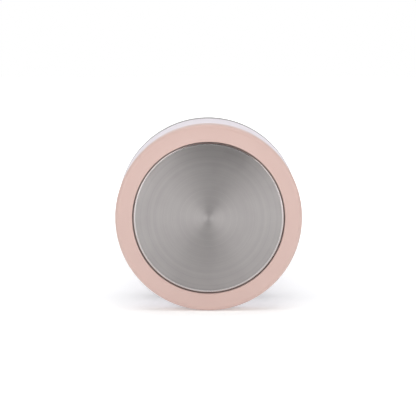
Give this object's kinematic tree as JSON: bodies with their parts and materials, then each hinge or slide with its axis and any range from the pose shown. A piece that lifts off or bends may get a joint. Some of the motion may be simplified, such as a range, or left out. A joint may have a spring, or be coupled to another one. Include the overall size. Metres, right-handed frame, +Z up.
{
  "type": "baby bottle",
  "caption": "Insulated steel feeding bottle with a soft foot boot, steel band, screw collar, silicone nipple and clear push-on travel hood.",
  "frame": {"origin": "centre of the flat ring that the bottle stands on, at the bottom of its boot", "axes": "+Z up along the bottle's axis, from the boot to the top of the hood; +X and +Y across it, all round alike"},
  "size_m": [0.0662, 0.0662, 0.188],
  "materials": {
    "pink_silicone": "matte",
    "pink_plastic": "satin",
    "lilac_coat": "satin",
    "spun_steel": "spun, polished rim",
    "bare_steel": "satin",
    "copper": "bright foil",
    "getter_metal": "sintered",
    "glass_bead": "gloss",
    "milky_silicone": "soft satin",
    "white_plastic": "satin",
    "clear_plastic": "clear gloss"
  },
  "bodies": {
    "flask": {"base_boot": "pink_silicone", "base_plate": "spun_steel", "vacuum_base": "bare_steel", "seal_bead": "glass_bead", "getter": "getter_metal", "outer_shell": "lilac_coat", "trim_ring": "bare_steel", "inner_flask": "bare_steel", "copper_foil": "copper"},
    "nipple_set": {"vent_membrane": "milky_silicone", "anti_colic_ring": "white_plastic", "nipple": "milky_silicone"},
    "screw_collar": {"collar": "pink_plastic"},
    "travel_hood": {"hood": "clear_plastic", "tip_seal": "milky_silicone"}
  },
  "joints": [
    {"name": "nipple_lift", "type": "slide", "parent": "flask", "child": "nipple_set", "axis": [0, 0, 1], "range_m": [0, 0.012]},
    {"name": "collar_turn", "type": "hinge", "parent": "nipple_set", "child": "screw_collar", "pos_m": [0, 0, 0.118], "axis": [0, 0, 1], "range_deg": [0, 1080.5]},
    {"name": "hood_lift", "type": "slide", "parent": "screw_collar", "child": "travel_hood", "axis": [0, 0, 1], "range_m": [0, 0.05]}
  ],
  "couplings": [
    {"joint": "collar_turn", "follows": "nipple_lift", "rad_per_m": 1570.8}
  ]
}
